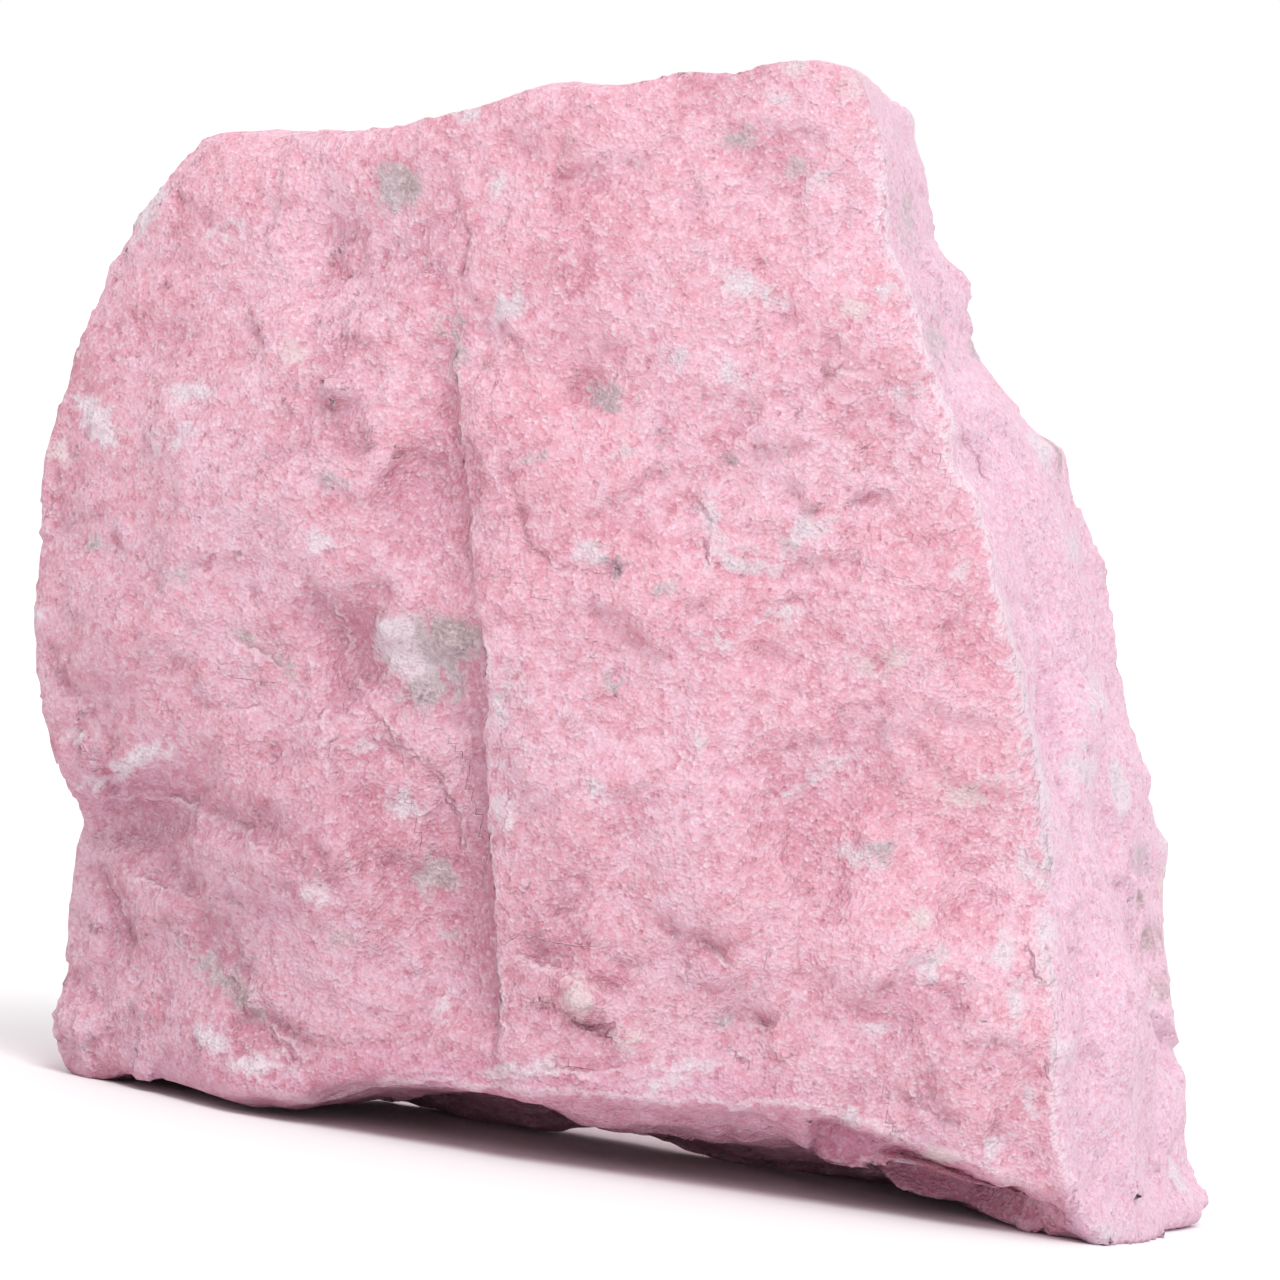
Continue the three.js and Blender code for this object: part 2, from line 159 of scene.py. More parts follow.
# roughness all over: how high, and over what length
roughness = [
    {"height": 0.11, "length": 2.2, "octaves": 3},
    {"height": 0.04, "length": 0.9, "octaves": 2},
]


def warped(points, length, amount):
    shifts = [noise.noise_vector(p) for p in points / length]
    return points + amount * np.array(shifts)


def flakeHeights(points, size, slant, step, warp, seed):
    draw = random.Random(seed)
    low, high = points.min(0) - size, points.max(0) + size
    counts = np.ceil((high - low) / size).astype(int)
    seeds = []
    for index in np.ndindex(*counts):
        jitter = [draw.random() for _ in range(3)]
        seeds.append(low + (np.array(index) + jitter) * size)
    tree = kdtree.KDTree(len(seeds))
    for i, place in enumerate(seeds):
        tree.insert(place, i)
    tree.balance()
    slants = np.array([[draw.gauss(0, slant) for _ in range(3)] for _ in seeds])
    steps = np.array([draw.gauss(0, step) for _ in seeds])
    moved = warped(points, size * 0.6, warp)
    nearest = np.array([tree.find(p)[1] for p in moved])
    offsets = points - np.array(seeds)[nearest]
    return (slants[nearest] * offsets).sum(1) + steps[nearest]


def roughHeights(points, height, length, octaves):
    values = [noise.fractal(p, 0.9, 2.1, octaves) for p in points / length]
    return height * np.array(values)


# forms of the front, on top of the frame's: places are [across, up] as seen
rightEdge = [
    [8.4, 22.6], [9.1, 20.8], [9.4, 19], [9.5, 17.4], [9.4, 16.1], [10.0, 14.8], [10.7, 13.2],
    [10.9, 11.6], [11.6, 10], [12.2, 8.6], [12.3, 6.9], [13, 5.8], [13.6, 4.0], [14.1, 2.2],
    [14.5, 0.2], [15.0, -2.1], [15.5, -4.6], [16.0, -7.4], [16.2, -9.4], [15.9, -11],
]
lowRightEdge = [[17.2, -22.4], [16.6, -19.6], [16.4, -16.6], [16.3, -14], [15.9, -11]]
nearEdge = [
    [14.5, 0], [14.7, -2.4], [14.7, -4.8], [14.5, -6.8], [14.4, -8.4], [14.7, -10], [14.9, -11.8],
]
ridge = [[-5.5, -17.2], [-5.7, -12.4], [-5.85, -8.4], [-6.0, -4], [-6.3, -0.5]]
footEdge = [
    [-18.6, -17.6], [-13, -18.2], [-10, -17.4], [-4, -17.9], [2, -18.3], [6.4, -18.6], [8.1, -19],
    [10.4, -19.7], [12.7, -20.5], [14.2, -21.2], [16.4, -22],
]
# crests: edges that broke sharp, with how fast they fall away on their left and right, and how much
# of the wander they take
crests = [
    {"line": rightEdge, "high": 0.34, "runs": [0.22, 0.45], "stray": 0.35},
    {"line": nearEdge, "high": 0.12, "runs": [0.2, 0.3], "stray": 1.0},
    {"line": ridge, "high": 0.10, "runs": [0.2, 0.5], "stray": 1.3},
    {"line": lowRightEdge, "high": 0.28, "runs": [0.4, 0.25], "stray": 0.5},
    {"line": footEdge, "high": 0.22, "runs": [0.3, 0.2], "stray": 0.7},
]
# brinks: the surface drops on the left of the line, walking along it
brinks = [
    {"line": [[-6.5, 1], [-6.9, 4.6], [-7.3, 8.4], [-7.4, 12.4]], "drop": 0.45, "run": 1.0},
    {"line": [[-5.5, -17], [-5.7, -12.4], [-5.9, -8.4], [-6.1, -3], [-6.4, 2]],
     "drop": 0.6, "run": 1.3},
    {"line": [[2.6, 2.6], [2.9, 4.4], [2.4, 6.2]], "drop": 0.35, "run": 0.8},
    {"line": [[-14, -1.2], [-15.2, -0.5], [-16, 0.3]], "drop": -0.45, "run": 0.9},
    {"line": [[6.2, 8.4], [6.6, 9.6], [8.2, 10.8], [10.2, 10.4]], "drop": 0.22, "run": 0.8},
    {"line": [[-1.6, -10.6], [-3.8, -11.2]], "drop": -0.4, "run": 0.7},
    {"line": [[-0.9, -14.3], [-3.0, -13.3], [-5.2, -12.5]], "drop": -0.55, "run": 0.9},
    {"line": [[1.5, -12], [0.1, -11.4]], "drop": -0.35, "run": 0.6},
    {"line": [[4.0, -13], [2.2, -12]], "drop": -0.5, "run": 0.8},
    {"line": [[5.8, -15.1], [4.9, -15.7], [4.0, -14.8]], "drop": -0.45, "run": 0.7},
    {"line": [[-0.2, -17.2], [-2.2, -17.3], [-4.2, -16.8]], "drop": -0.4, "run": 0.6},
    {"line": [[6.3, -11], [6.2, -13.5]], "drop": 0.3, "run": 0.8},
    {"line": [[12.7, -19.9], [11.4, -18.8], [10.8, -17]], "drop": -0.6, "run": 0.8},
    {"line": [[16.3, -18.2], [16.2, -16.8]], "drop": 0.4, "run": 0.7},
    {"line": [[15.9, -13.8], [15.5, -12]], "drop": 0.3, "run": 0.6},
    {"line": [[-18, 11.3], [-19.3, 11.9]], "drop": -0.3, "run": 0.6},
    {"line": [[-7.2, -8.8], [-7.4, -7], [-8, -5.4], [-9.6, -4.3], [-11.4, -3.8]],
     "drop": 0.3, "run": 0.9},
    {"line": [[-9.4, -4.6], [-10.2, -3.2], [-11.6, -1.4], [-12, 0.6], [-13.4, 2.4]],
     "drop": 0.3, "run": 1.1},
    {"line": [[-15, -2.6], [-16.8, -2.9]], "drop": -0.3, "run": 0.6},
    {"line": [[-12.4, -2.4], [-12.8, -3.3], [-13.6, -3]], "drop": -0.3, "run": 0.6},
    {"line": [[-14.2, -9], [-16.6, -7.2], [-19, -6.4], [-21.4, -6.2]], "drop": -0.4, "run": 1.2},
    {"line": [[-17.6, -10.6], [-19.4, -9.6], [-20.6, -9.4]], "drop": -0.3, "run": 0.7},
    {"line": [[-13, -17.4], [-15.6, -14.8], [-17.2, -12.4]], "drop": 0.3, "run": 0.9},
    {"line": [[9.6, 4.6], [11.2, 3.6], [12.9, 3.4]], "drop": 0.15, "run": 0.6},
]
# cracks and grooves: narrow dents along a line
cracks = [
    {"line": [[-5.6, 8], [-5, 5.9], [-4.7, 4.3], [-4.1, 3.5], [-3.2, 2.9], [-1.6, 2.6]],
     "deep": 0.22, "wide": 0.24},
    {"line": [[-21.9, -8.7], [-21.1, -10.4], [-20.5, -12.5]], "deep": 0.3, "wide": 0.4},
    {"line": [[-3.1, -15.1], [-2, -15.5], [-0.9, -16.1]], "deep": 0.35, "wide": 0.3},
    {"line": [[12.9, 8.4], [13.4, 7.6], [13.9, 6.3]], "deep": 0.32, "wide": 0.3},
    {"line": [[10.8, -17], [11.3, -18.7], [12.6, -19.9]], "deep": 0.25, "wide": 0.22},
    {"line": [[-1.8, -10.7], [-3.6, -11.1]], "deep": 0.2, "wide": 0.2},
    {"line": [[-11.4, -3.8], [-9.6, -4.2], [-8, -5.4], [-7.4, -7.2], [-7.2, -8.8]],
     "deep": 0.18, "wide": 0.16},
    {"line": [[-3.2, -14.9], [-2.2, -15.6], [-1, -15.3]], "deep": 0.3, "wide": 0.3},
    {"line": [[2.2, -12.1], [3.9, -13]], "deep": 0.3, "wide": 0.22},
]
# the front overhangs a ledge at its lower right, set back under the lip line
lip = {
    "line": [
        [6.9, -19.05], [8.1, -19.35], [10.4, -20.05], [12.7, -20.85], [14.2, -21.6], [16.4, -22.2],
    ],
    "back": 1.7,
    "high": 2.0,
}
# valleys: wide soft grooves
valleys = [
    {"line": [[-13.6, 2.0], [-12.8, 1.6], [-11.8, 0], [-10.7, -1.7], [-9.6, -3.2], [-7.8, -3.8]],
     "deep": 0.4, "wide": 0.7},
    {"line": [[-21.5, -6.4], [-20, -7.8], [-18.7, -9.2], [-17.9, -10.3], [-17, -12.4], [-16.2, -14.2]],
     "deep": 0.3, "wide": 0.6},
    {"line": [[-22.2, -8.4], [-21.4, -9.6], [-21, -11.4], [-19.9, -13.4]], "deep": 0.22, "wide": 0.5},
    {"line": [[-12.2, -5.4], [-11, -6.4], [-10.4, -8.4], [-9.6, -9.6]], "deep": 0.4, "wide": 0.6},
    {"line": [[-6.9, 0], [-6.6, -2.4], [-6.6, -6.4], [-6.7, -10.4], [-6.6, -15]],
     "deep": 0.25, "wide": 0.5},
    {"line": [[-12.2, 12.6], [-12.6, 10.4], [-12, 8.2], [-11.6, 6.5]], "deep": 0.2, "wide": 0.5},
    {"line": [[0.2, -11.4], [2.6, -12.3], [3.7, -12.7]], "deep": 0.3, "wide": 0.4},
    {"line": [[3.3, -14.8], [4, -15.2], [5.4, -15.5]], "deep": 0.35, "wide": 0.4},
    {"line": [[10.6, -10.4], [12.4, -11.2], [14.2, -9.8]], "deep": 0.2, "wide": 0.6},
    {"line": [[14.4, 4.4], [15.3, 1], [16.1, -2], [16.6, -4.5], [17, -7.4]], "deep": 0.5, "wide": 0.6},
]
# pits and lumps: [across, up, half width, half height, depth], a lump's depth is below zero
pits = [
    [-16.8, -7.2, 2.4, 0.9, 0.45], [-11.4, -0.6, 0.9, 2.0, 0.5], [-19.4, -13.4, 1.6, 1.4, 0.2],
    [-1.0, 3.0, 0.3, 0.3, 0.3], [-2, 10, 0.9, 0.7, 0.18], [-4.8, 19.6, 0.8, 0.5, 0.22],
    [-3.2, 19.2, 0.6, 0.5, 0.2], [7.6, 18, 0.7, 0.5, 0.22], [8.4, 16.4, 0.5, 0.6, 0.2],
    [5, -0.6, 0.9, 0.6, 0.22], [2.2, 1, 0.8, 0.6, 0.2], [-15.1, -4.7, 0.9, 0.7, 0.3],
    [-16, -7.6, 0.7, 0.6, 0.3], [-19.6, -7.2, 1.5, 0.8, 0.5], [-22.8, -2, 0.8, 0.6, 0.3],
    [-12.4, 15.2, 0.7, 0.9, 0.2], [3.5, 7.3, 0.25, 0.25, 0.2], [0.8, 8.2, 0.3, 0.3, 0.2],
    [13.6, -10.2, 1.4, 1.6, 0.25], [12.6, -12.6, 1.0, 1.0, 0.1], [-8.2, -9.6, 1.0, 1.2, 0.3],
    [-9.6, -6.8, 0.8, 0.7, 0.25], [-8.4, -1.2, 1.6, 1.3, 0.25], [5.1, -6.2, 0.7, 1.1, 0.25],
    [7.4, -9.4, 0.7, 1.5, 0.2], [3.9, 19.9, 0.8, 0.6, 0.2], [-9.7, 18, 1.0, 1.2, 0.2],
    [10.2, -15.2, 0.9, 0.9, 0.25], [8.4, -18.4, 0.8, 0.7, 0.2], [20.2, -12.6, 0.4, 1.2, 0.4],
    [-2.5, -14.5, 0.65, 0.8, -0.55], [-0.4, -16, 0.5, 0.45, -0.3], [16.8, -16.3, 0.4, 0.5, -0.35],
    [-4.6, -15.2, 1.2, 1.6, 0.35], [-1.0, -14, 0.6, 0.5, 0.3], [1.1, -12.7, 1.2, 0.7, 0.3],
    [7.5, -14, 1.2, 1.2, 0.25], [-10.6, 15.4, 2.4, 1.6, 0.25], [-8.8, 6, 1.2, 2.8, 0.3],
    [-22, -13.8, 1.2, 1.2, 0.25], [2.2, -3.9, 0.35, 0.35, -0.15], [-5.1, 13.4, 0.6, 0.55, -0.15],
    [-21.7, 8.6, 0.7, 0.8, -0.2], [-20.6, -4.8, 1.2, 0.5, -0.35], [-7.9, -0.3, 0.5, 0.5, -0.2],
    [-17.6, 9.9, 0.5, 0.3, -0.15],
]
# knobs of the outline, as the pits
knobs = [
    [13.1, 14.3, 0.6, 0.8, -0.8], [16.9, 7.5, 0.9, 0.7, -0.6], [10.6, 20.9, 0.6, 0.8, -0.35],
    [20.9, -8.2, 0.5, 0.9, -0.3], [12.0, 16.2, 0.5, 0.6, 0.25], [14.0, 12.0, 0.6, 0.8, 0.15],
]


# distance, side and share of the nearest place on a line
def alongLine(line, across, up):
    best = np.full(len(across), np.inf)
    side = np.zeros(len(across))
    share = np.zeros(len(across))
    pieces = list(zip(line, line[1:]))
    for i, (start, end) in enumerate(pieces):
        runX, runY = end[0] - start[0], end[1] - start[1]
        part = ((across - start[0]) * runX + (up - start[1]) * runY) / (runX**2 + runY**2)
        part = np.clip(part, 0, 1)
        offX = across - start[0] - part * runX
        offY = up - start[1] - part * runY
        far = np.hypot(offX, offY)
        nearer = far < best
        best[nearer] = far[nearer]
        side[nearer] = np.sign(runX * offY - runY * offX)[nearer]
        share[nearer] = ((i + part) / len(pieces))[nearer]
    return best, side, share


# lets a line's form fade out towards both ends
def fadeEnds(share, gone, whole):
    return smoothStep(np.minimum(share, 1 - share), gone, whole)


def dents(places, across, up):
    deep = np.zeros(len(across))
    for x, y, halfWide, halfHigh, most in places:
        away = ((across - x) / halfWide) ** 2 + ((up - y) / halfHigh) ** 2
        deep += most * np.exp(-away)
    return deep


def frontHeights(across, up):
    height = np.zeros(len(across))
    for brink in brinks:
        far, side, share = alongLine(brink["line"], across, up)
        edge = smoothStep(far, 0, stoneSizes["voxel"]) * np.exp(-far / brink["run"])
        drop = abs(brink["drop"]) * fadeEnds(share, -0.05, 0.15) * edge
        height -= np.where(side * brink["drop"] > 0, drop, 0)
    for grooves, whole in ((cracks, 0.2), (valleys, 0.25)):
        for groove in grooves:
            far, side, share = alongLine(groove["line"], across, up)
            ends = fadeEnds(share, -0.02, whole)
            height -= groove["deep"] * ends * np.exp(-((far / groove["wide"]) ** 2))
    return height - dents(pits, across, up)


print("stone: calmer between the edges")
points = readPoints(stone)
across, up, behind = asSeen(points)
facing = towardsEye(stone)
offCrest = np.ones(len(points))
for crest in crests:
    far, side, share = alongLine(crest["line"], across, up)
    away = smoothStep(far, *stoneSizes["crestReach"])
    offCrest = np.minimum(offCrest, np.maximum(away, behind > view["frontDepth"]))


def smoothWhere(weights, passes):
    group = stone.vertex_groups.new(name="smoothed")
    for i, weight in enumerate(weights):
        group.add([i], weight, "REPLACE")
    applyModifier(stone, "SMOOTH", factor=0.5, iterations=passes, vertex_group="smoothed")
    stone.vertex_groups.clear()


smoothWhere(atLeast(stoneSizes["crestSmooth"], offCrest), stoneSizes["smooth"])
smoothWhere(smoothStep(np.abs(facing), 0.3, 0.6) * offCrest, stoneSizes["calm"])

print("stone: flakes, roughness and the front's ledges")
points = readPoints(stone)
normals = readPoints(stone, "normal")
smoothShape = points.copy()
inMm = points / mm
across, up, behind = asSeen(points)
facing = towardsEye(stone)
wander = np.array([noise.noise_vector(p) for p in inMm / stoneSizes["wanderLength"]])
wander *= stoneSizes["wander"]


# the points' places as seen, strayed by a share of the wander
def strayed(share):
    return across + share * wander[:, 0], up + share * wander[:, 2]


def crestHeights():
    height = np.zeros(len(points))
    for crest in crests:
        far, side, share = alongLine(crest["line"], *strayed(crest["stray"]))
        run = np.where(side > 0, *crest["runs"])
        height += crest["high"] * fadeEnds(share, -0.03, 0.06) * np.exp(-far / run)
    return height


# the worn flats stay on the floor
def keepUp(points):
    points[:, 2] = np.maximum(points[:, 2], 0)
    return points


seen = smoothStep(facing, 0.02, 0.2) * (behind < view["shownDepth"])
height = sum(flakeHeights(inMm, **flake) for flake in flakes)
height += sum(roughHeights(inMm, **rough) for rough in roughness)
height *= atLeast(stoneSizes["edgeOnRough"], smoothStep(np.abs(facing), 0.05, 0.5))
height *= atLeast(stoneSizes["crestRough"], offCrest)
height += stoneSizes["grow"]
height += seen * (frontHeights(*strayed(1)) + crestHeights())
height -= smoothStep(facing, -0.6, -0.2) * dents(knobs, across, up)
points = points + normals * height[:, None] * mm

# the recess under the lip
far, side, share = alongLine(lip["line"], across, up)
below = smoothStep(far, 0, 0.2) * smoothStep(far, lip["high"], 0.4 * lip["high"]) * (side < 0)
below *= smoothStep(share, 0, 0.06) * smoothStep(share, 1, 0.7)
below *= (facing > 0) * (behind < view["frontDepth"])
points += (lip["back"] * mm * below)[:, None] * turn[:, 1]
writePoints(stone, keepUp(points))
applyModifier(stone, "SMOOTH", factor=stoneSizes["settle"], iterations=1)
points = keepUp(readPoints(stone))
writePoints(stone, points)

# pale and dark patches: [across, up, long, wide, tilt in degrees]
patches = {
    "white": [
        [-16.6, 16.3, 0.6, 0.3, 20], [-21.8, 9, 1.6, 0.9, -35], [-21.2, 8.2, 1.0, 0.8, 0],
        [-17.8, 9.9, 1.1, 0.5, 10], [-18.4, 8, 0.8, 0.4, 30], [-5.1, 13.4, 1.2, 1.0, 0],
        [3.9, 14.2, 1.5, 0.9, -25], [5.0, 13.8, 0.9, 0.7, 0], [-5.8, 18.1, 0.5, 0.5, 0],
        [-0.5, 7.6, 0.5, 0.5, 0], [9.7, 13.9, 0.5, 0.4, 0], [10.6, 9.9, 0.7, 0.4, 0],
        [-12.8, 3.9, 0.5, 0.4, 0], [-9.5, -0.2, 2.3, 2.4, 0], [-9.9, 0.6, 1.0, 0.8, 0],
        [-8.8, -1.2, 1.6, 1.2, 20], [-22.3, -3.9, 0.5, 0.4, 0], [-20.4, -4.9, 2.1, 0.6, 22],
        [-11, -4.4, 0.5, 0.4, 0], [-9.5, -6.7, 1.0, 0.9, 30], [-13, -10.1, 0.8, 0.6, 0],
        [-15.2, -17, 2.0, 0.8, 0], [-17.2, -16, 1.1, 0.6, -20], [-7.8, -14.5, 0.3, 0.5, 0],
        [-1.7, 3.5, 0.9, 0.4, 0], [2.9, 4.6, 0.4, 1.5, 10], [4.0, 3.1, 1.9, 0.6, -12],
        [6.9, 4.5, 1.3, 0.6, 20], [6.1, 3.9, 0.6, 0.5, 0], [5.5, 1, 1.0, 0.5, 20],
        [3.1, 0, 0.7, 0.4, 0], [-5.1, -1.7, 0.35, 0.8, 0], [-5.6, -2.6, 0.3, 0.5, 0],
        [2.3, -3.9, 0.55, 0.45, 0], [-1.9, -6, 0.6, 0.5, 0], [-5.35, -6.8, 0.25, 1.0, 0],
        [7.3, -5.3, 0.9, 0.16, 30], [8.6, -8.7, 1.3, 0.7, -20], [14.3, -5.6, 0.8, 0.4, 0],
        [15.5, -8.9, 0.5, 0.7, 0], [14.5, -12.5, 0.8, 1.1, -20], [14.9, -14.6, 0.4, 1.1, 0],
        [11.7, -13, 1.1, 0.7, 20], [16.8, -16.4, 0.7, 0.6, 0], [15.5, -18.5, 0.5, 0.7, 0],
        [14.1, -20.2, 0.7, 0.5, 0], [9.5, -15.6, 0.6, 0.4, 0], [8.4, -19, 0.5, 0.4, 0],
        [1.9, -17.2, 1.7, 0.7, 0], [-5.1, -17.2, 1.1, 0.5, 0], [0.6, -17.9, 0.5, 0.4, 0],
        [14.9, 0.2, 0.3, 1.6, 12], [15.3, -2.2, 0.35, 1.8, 12], [18, -2.3, 0.5, 0.9, 0],
        [17.4, -5.1, 0.6, 1.2, 0], [17.2, 3.7, 0.5, 0.6, 0], [18.6, -23.7, 0.6, 0.4, 0],
        [5.6, 21.7, 0.5, 0.3, 0], [-3.7, -17, 0.5, 0.3, 0], [12.8, 2.9, 0.5, 0.3, 0],
        [15.8, -5.4, 0.35, 2.4, 8], [16, -8.6, 0.3, 2.0, 0], [16.2, -12.4, 0.4, 1.6, -8],
        [3.6, 10.6, 0.8, 0.5, -30], [1.4, 11.3, 0.6, 0.4, 0], [7.2, 18.4, 0.6, 0.4, 0],
    ],
    "cream": [
        [-23.2, 7.5, 0.6, 0.5, 0], [8.3, 22.2, 0.7, 0.4, 0], [8.6, 13.2, 0.8, 0.6, 0],
        [9.7, -0.8, 1.2, 0.5, 15], [12, -20.5, 0.9, 0.5, 0], [-2.5, -14.3, 1.0, 1.4, 0],
        [-0.4, -16, 0.7, 0.5, 0], [11, -11.2, 0.8, 0.6, 0], [6.2, 22.9, 0.6, 0.3, 0],
        [-13.7, 11.4, 0.7, 0.7, 0], [12.9, -6.2, 1.4, 0.7, 0],
    ],
    "grey": [
        [-9.8, 18.2, 1.5, 1.8, 0], [-7.4, 12, 0.3, 1.2, 0], [-1.4, 9.6, 1.4, 1.0, -15],
        [3.9, 20, 0.9, 0.5, 0], [-7.8, -0.2, 2.2, 1.9, 0], [-8.5, -2.1, 2.0, 1.2, 15],
        [-8.3, -9.5, 1.3, 1.3, 0], [-16.8, -13.5, 2.6, 0.7, -42], [-7.6, -11.7, 0.5, 0.4, 0],
        [3.2, -15.2, 0.5, 0.5, 0], [10.6, 16.7, 0.3, 1.0, 0], [11.7, 12, 0.3, 0.8, 0],
        [-12.4, 6.3, 0.5, 0.4, 0], [-18.2, 2.6, 0.5, 0.4, 0], [-4.2, 7.2, 0.5, 0.3, 0],
        [-21.8, 3.8, 0.7, 0.4, 0], [19.9, -8.8, 0.4, 0.6, 0], [-1.3, -1.7, 0.5, 0.4, 0],
        [0.9, 2.0, 0.4, 0.3, 0], [9.7, -8.4, 0.5, 0.5, 0], [6.2, 18.9, 0.4, 0.4, 0],
    ],
    "brown": [
        [-7.7, 0.3, 1.9, 0.9, -15], [20.4, -12, 0.5, 0.9, 0], [20.6, -13.8, 0.4, 0.7, 0],
        [-12, -12.2, 0.6, 0.4, 0], [-16, -14.2, 0.9, 0.35, -42], [-14.8, -0.6, 1.4, 0.25, -36],
        [-8, 12.6, 0.3, 0.5, 0], [-8, -9.8, 0.5, 0.7, 0], [-9.4, 18.4, 0.5, 0.6, 0],
    ],
    "dark": [
        [-1.0, 3, 0.4, 0.45, 0], [3.5, 7.3, 0.2, 0.25, 0], [0.9, 8, 0.2, 0.25, 0],
        [-8.6, -2.2, 0.3, 0.2, 0], [-7.2, -0.4, 0.25, 0.2, 0],
    ],
}
# patches on the faces the photo doesn't show
strewn = {
    "count": 90,
    "seed": 12,
    "radii": (0.25, 1.1),
    "stretch": (0.6, 1.6),
    "behind": 14,  # besides the faces turned away, on all that lies further behind
    "kinds": ["white"] * 5 + ["grey"] * 2 + ["cream", "brown"],
}
maskReach = 1.5    # how far from a patch or a line its mask still changes


# how far inside the nearest patch of a kind each point is, in mm
def patchDepth(kind):
    depth = np.full(len(inMm), -maskReach)
    for x, y, long, wide, tilt in patches[kind]:
        angle = math.radians(tilt)
        along = ((across - x) * math.cos(angle) + (up - y) * math.sin(angle)) / (long / 2)
        over = ((up - y) * math.cos(angle) - (across - x) * math.sin(angle)) / (wide / 2)
        inside = (1 - np.hypot(along, over)) * (min(long, wide) / 2)
        depth = np.maximum(depth, np.where(facing > 0, inside, -maskReach))
    return depth


print("stone: masks for the patches and hollows")
depths = {kind: patchDepth(kind) for kind in patches}
draw = random.Random(strewn["seed"])
hidden = np.flatnonzero((facing < 0) | (behind > strewn["behind"]))
for _ in range(strewn["count"]):
    centre = inMm[hidden[draw.randrange(len(hidden))]]
    radius = draw.uniform(*strewn["radii"])
    stretch = np.array([draw.uniform(*strewn["stretch"]) for _ in range(3)])
    away = np.linalg.norm((inMm - centre) * stretch, axis=1)
    kind = draw.choice(strewn["kinds"])
    depths[kind] = np.maximum(depths[kind], radius - away)


def writeMask(name, values):
    layer = stone.data.attributes.new(name, "FLOAT", "POINT")
    layer.data.foreach_set("value", values.astype(np.float32))


for kind, depth in depths.items():
    writeMask(kind + "Patch", np.clip(depth, -maskReach, maskReach))


# how far each point is from the nearest of some lines, more than 0 on the low side, and how much
# of that line shows there; each line has its places, low side, strength and share of the wander
def lineField(lines, shown):
    field = np.full(len(across), maskReach)
    strength = np.zeros(len(across))
    for line, low, strong, stray in lines:
        far, side, share = alongLine(line, *strayed(stray))
        nearer = far < np.abs(field)
        field[nearer] = (far * np.where(side * low > 0, 1, -1))[nearer]
        strength[nearer] = (strong * fadeEnds(share, -0.02, 0.15))[nearer]
    return field, strength * shown * (facing > 0.02) * (behind < view["shownDepth"])


# brinks and cracks come and go along their lines, crests don't
gaps = {"length": 0.9, "gone": -0.15, "whole": 0.25}
gapNoise = np.array([noise.noise(p) for p in inMm / gaps["length"]])
comesAndGoes = smoothStep(gapNoise, gaps["gone"], gaps["whole"])
brinkLines = [(brink["line"], brink["drop"], min(1, 0.3 + abs(brink["drop"])), 1) for brink in brinks]
crackLines = [(crack["line"], 1, 0.3 + 2 * crack["deep"], 1) for crack in cracks]
crestLines = [(crest["line"], 1, min(1, 3 * crest["high"]), crest["stray"]) for crest in crests]
lineKinds = [
    ("brink", brinkLines, atLeast(0.35, comesAndGoes)),
    ("crack", crackLines, atLeast(0.45, comesAndGoes)),
    ("crest", crestLines, 1),
]
for name, lines, shown in lineKinds:
    field, strength = lineField(lines, shown)
    writeMask(name + "Side", field)
    writeMask(name + "Share", strength)
lift = ((points - smoothShape) * normals).sum(1) / mm - stoneSizes["grow"]
writeMask("raised", np.clip(lift, -1, 1))

# the right face starts at the sharp edge
far, side, share = alongLine(rightEdge + lowRightEdge[::-1], across, up)
beyondEdge = smoothStep(side * far, -0.05, 0.15) * (facing > 0)
writeMask("rightFace", np.maximum(beyondEdge, smoothStep(normals[:, 0], 0.6, 0.9)))

# painted shade: the recess under the lip, the underside and the foot of the front are darker
far, side, share = alongLine(footEdge, across, up)
foot = smoothStep(far, 1.8, 0.4) * smoothStep(across, 8, 5) * (facing > 0)
underside = smoothStep(-normals[:, 2], 0.2, 0.7)
writeMask("underShadeAmount", np.maximum(below, 0.6 * np.maximum(underside, foot)))

# thulite: pink sugar grains, paler on what stands proud
thulite = {
    "pink": (0.80, 0.415, 0.515, 1),
    "deepPink": (0.75, 0.32, 0.405, 1),
    "palePink": (0.83, 0.53, 0.64, 1),
    # painted shade for the hollows
    "hollowShade": (0.76, 0.60, 0.66, 1),
    "sidePink": (0.77, 0.565, 0.70, 1),
    "white": (0.75, 0.635, 0.70, 1),
    "cream": (0.76, 0.58, 0.60, 1),
    "grey": (0.48, 0.385, 0.415, 1),
    "brown": (0.42, 0.29, 0.30, 1),
    # painted shade under the lip, on the underside and at the foot of the front
    "underShade": (0.90, 0.74, 0.83, 1),
    # painted shade towards the lower left
    "lowShade": (0.76, 0.75, 0.77, 1),
    "dark": (0.20, 0.10, 0.14, 1),
    "patchFleck": (0.80, 0.70, 0.74, 1),
    "rim": (0.87, 0.70, 0.78, 1),
    # painted shade under brinks and in cracks, and the colour of the dark pores
    "shade": (0.42, 0.16, 0.22, 1),
    "roughness": 0.58,
}
# noises of the stone: how many to the mm, how many octaves are added, and how strong these are
noises = {
    "broad": (0.11, 1, 0.55),
    "middle": (0.50, 2, 0.6),
    "fine": (1.7, 2, 0.6),
    "sugar": (4.2, 2, 0.7),
}
grainScale = 6.8  # grains to the mm


